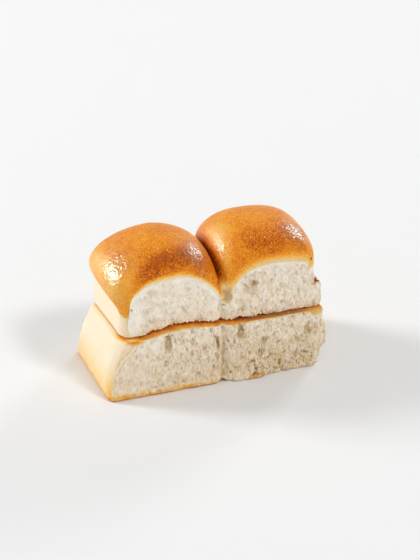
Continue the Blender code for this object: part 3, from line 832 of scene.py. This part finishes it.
# The torn sides: creamy under the crust, toasted at the split with painted shade of the gap, and with painted
# shade in the cleft and between the shreds that hang over the split.
toasted = TOASTED * ease(0.5 + (0.62 * ragged_edge(u, v) - over_split) / (0.7 * MM))
cream = 0.14 * np.exp(-from_rim / (0.6 * MM))
cream += (0.05 + 0.05 * uneven) * rise(from_rim, (3 + 2 * uneven) * MM, 0)
cream += 0.1 * rise(x, 12 * MM, 20 * MM) * ease(1.3 - from_rim / (3 * MM))
torn_browning = np.maximum(cream, toasted)
torn_browning *= np.where(toasted > 0.1, 1, 1 - np.clip(cleft_shade, 0, 0.9))
torn_browning = np.maximum(torn_browning, 0.1 * rise(past_skin, 0, -1 * MM) * (u < 0.5))
torn_browning = np.where(u < 0.1, np.maximum(torn_browning, TONGUE_IN_FRONT * tongue), torn_browning)
fringe_shade = rise(over_split, 4 * MM, 0) * ease(1.6 * lumps(points, 1.3 * MM, (6, 1, 1))) * (u > 0.08)
torn_shade = np.maximum(np.maximum(hollow, cleft_shade), 0.6 * fringe_shade)

milky = 0 * x
for milky_x, milky_y, half_width, half_depth, thick in MILKY:
    milky = np.maximum(milky, thick * on_dome * bell(x, milky_x, half_width) * bell(y, milky_y, half_depth))
milky = ease(1.5 * milky + 0.5 * spotted)
glazed = (0.42 + 0.58 * milky) * rise(from_rim, 0, 5 * MM)
brownings = [TOASTED, dome_browning, wall_browning]
values = {
    "browning": np.select([w == 0, on_dome, on_wall], brownings, torn_browning),
    "glaze": np.select([on_dome, on_wall], [glazed, 0.6 * tongue], 0),
    # hollow: painted shade in the cells, the cleft and between the shreds, and a darker tint where milk lies
    # thick.
    "hollow": np.where(on_dome, cleft_shade, torn_shade) + milky * (0.22 + 0.36 * spotted),
    "open": fade,
    "warmth": 0.25 * rise(over_split, 12 * MM, 0),
}
top = bread_mesh("top_bread", points, faces, sides, SIDE_MATERIALS, values)
top_front = points[v == 0]
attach(top, "root")
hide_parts("top_half")

# --- Flakes ---------------------------------------------------------------------------------------------
# Bits of crust that came off when the slab was torn and stick to the torn sides: the flake at the base, a
# burnt bit at the right end, and a few specks. Each is a lumpy ball pressed flat against the crumb.

# Each flake: which half's shown side it sticks to, x, z, half width, half height, and its browning.
FLAKES = (
    (bottom_front, 25.5 * MM, 1.8 * MM, 3.2 * MM, 1.6 * MM, 0.56),
    (bottom_front, 29 * MM, 2.6 * MM, 2.4 * MM, 1.5 * MM, 0.5),
    (bottom_front, 21.5 * MM, 1.6 * MM, 2.2 * MM, 1.3 * MM, 0.48),
    (top_front, 70.4 * MM, 62.6 * MM, 0.8 * MM, 1.9 * MM, 0.97),
    (top_front, 71.4 * MM, 61.4 * MM, 1.7 * MM, 0.6 * MM, 0.92),
    (top_front, 68.6 * MM, 60.4 * MM, 1.8 * MM, 0.8 * MM, 0.36),
    (top_front, 66.7 * MM, 79.6 * MM, 0.5 * MM, 1.2 * MM, 0.9),
    (bottom_front, -30.7 * MM, 14.4 * MM, 0.5 * MM, 0.5 * MM, 1.0),
    (bottom_front, 7.8 * MM, 7.3 * MM, 0.7 * MM, 0.6 * MM, 1.0),
    (top_front, -58.8 * MM, 63.9 * MM, 0.5 * MM, 0.6 * MM, 0.95),
)
FLAKE_THICKNESS = 0.35  # as a share of the lesser of width and height
BALL_STEPS = 3

flake_points, flake_faces, flake_browning = [], [], []
for front, flake_x, flake_z, half_width, half_height, flake_brown in FLAKES:
    ball = bmesh.new()
    bmesh.ops.create_icosphere(ball, subdivisions=BALL_STEPS, radius=1)
    at = np.array([corner.co for corner in ball.verts])
    at *= 1 + 0.5 * lumps(at, 0.45, (flake_x / MM, 0, 0))[:, None]
    nearest = np.argmin((front[:, 0] - flake_x) ** 2 + (front[:, 2] - flake_z) ** 2)
    half_depth = 0.2 * MM + FLAKE_THICKNESS * min(half_width, half_height)
    at = at * (half_width, half_depth, half_height) + (flake_x, front[nearest, 1], flake_z)
    at[:, 2] = np.maximum(at[:, 2], 0.1 * MM)
    first = sum(len(earlier) for earlier in flake_points)
    flake_faces += [[first + corner.index for corner in face.verts] for face in ball.faces]
    flake_points.append(at)
    flake_browning.append(np.full(len(at), flake_brown))
    ball.free()
flake_points, flake_browning = np.concatenate(flake_points), np.concatenate(flake_browning)
flake_spots = lumps(flake_points, 1.2 * MM)
flake_browning = np.clip(flake_browning + 0.15 * flake_spots, 0, 1)
flake_hollow = (0.6 + 0.5 * flake_spots) * (flake_browning < 0.7)
values = {"browning": flake_browning, "glaze": 0 * flake_browning + 0.2, "hollow": flake_hollow}
flake_sides = ["top"] * len(flake_faces)
flakes = bread_mesh("crust_flakes", flake_points, flake_faces, flake_sides, {"top": crust}, values)
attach(flakes, "root")

# --- Floor, lights and camera ---------------------------------------------------------------------------
# A plain pale floor in a bright studio. A soft box stands behind the bread at each side, one lamp lights the
# crumb from the front, and two more only shine in the glaze.

bpy.ops.mesh.primitive_plane_add(size=12)
floor = bpy.context.object
floor.name = "floor"
floor.location.z = -0.05 * MM
paint = bpy.data.materials.new("pale_floor")
paint.use_nodes = True
shader = paint.node_tree.nodes["Principled BSDF"]
shader.inputs["Base Color"].default_value = (0.84, 0.84, 0.84, 1)
shader.inputs["Roughness"].default_value = 0.9
shader.inputs["Specular IOR Level"].default_value = 0.1
floor.data.materials.append(paint)

world = bpy.data.worlds.new("studio")
bpy.context.scene.world = world
world.use_nodes = True
tree = world.node_tree
direction = add_node(tree, "ShaderNodeTexCoord").outputs["Generated"]
sides = add_node(tree, "ShaderNodeSeparateXYZ", {0: direction}).outputs
sky = add_range(tree, sides["Z"], 0.3, 0.9, 0.66, 0.2)
across = add_range(tree, sides["X"], -1.0, 1.0, 1.08, 0.88)
ahead = add_range(tree, sides["Y"], -1.0, 1.0, 1.5, 0.9)
sky = add_math(tree, "MULTIPLY", sky, add_math(tree, "MULTIPLY", across, ahead))
tree.links.new(sky, tree.nodes["Background"].inputs["Strength"])
tree.nodes["Background"].inputs["Color"].default_value = (1, 1, 1, 1)

# Lamps: direction from the bread, side, power, and whether it lights or only shines in the glaze.
SHINE_COLOUR = (0.8, 1.0, 0.97)
LAMPS = {
    "left_soft_box": ((-0.70, 0.52, 0.48), 0.85, 50, True),
    "right_soft_box": ((0.72, 0.57, 0.35), 0.8, 27, True),
    "crumb_light": ((0.35, -0.55, 0.75), 0.6, 31, True),
    "left_shine": ((-0.70, 0.57, 0.44), 1.05, 215, False),
    "right_shine": ((0.75, 0.55, 0.36), 0.65, 36, False),
}
LAMP_DISTANCE, LAMP_AIM = 3.0, Vector((0, 0, 0.05))
for name, (towards, side, power, lights) in LAMPS.items():
    lamp = bpy.data.lights.new(name, "AREA")
    lamp.shape = "SQUARE"
    lamp.size = side
    lamp.energy = power
    lamp.color = (1, 1, 1) if lights else SHINE_COLOUR
    lit = bpy.data.objects.new(name, lamp)
    lit.location = Vector(towards).normalized() * LAMP_DISTANCE + LAMP_AIM
    lit.rotation_euler = Vector(towards).to_track_quat("Z", "Y").to_euler()
    lit.visible_diffuse = lights
    lit.visible_glossy = not lights
    bpy.context.scene.collection.objects.link(lit)

# The camera stands where the photo was taken from, as fitted to the edges of the bread.
camera = bpy.data.objects.new("camera", bpy.data.cameras.new("camera"))
camera.location = (-0.4968, -1.3821, 0.8578)
camera.rotation_euler = Vector((0.3006, 0.8258, -0.4772)).to_track_quat("-Z", "Y").to_euler()
camera.data.lens = 160.714
bpy.context.scene.collection.objects.link(camera)
bpy.context.scene.camera = camera
bpy.context.scene.view_settings.view_transform = "Standard"
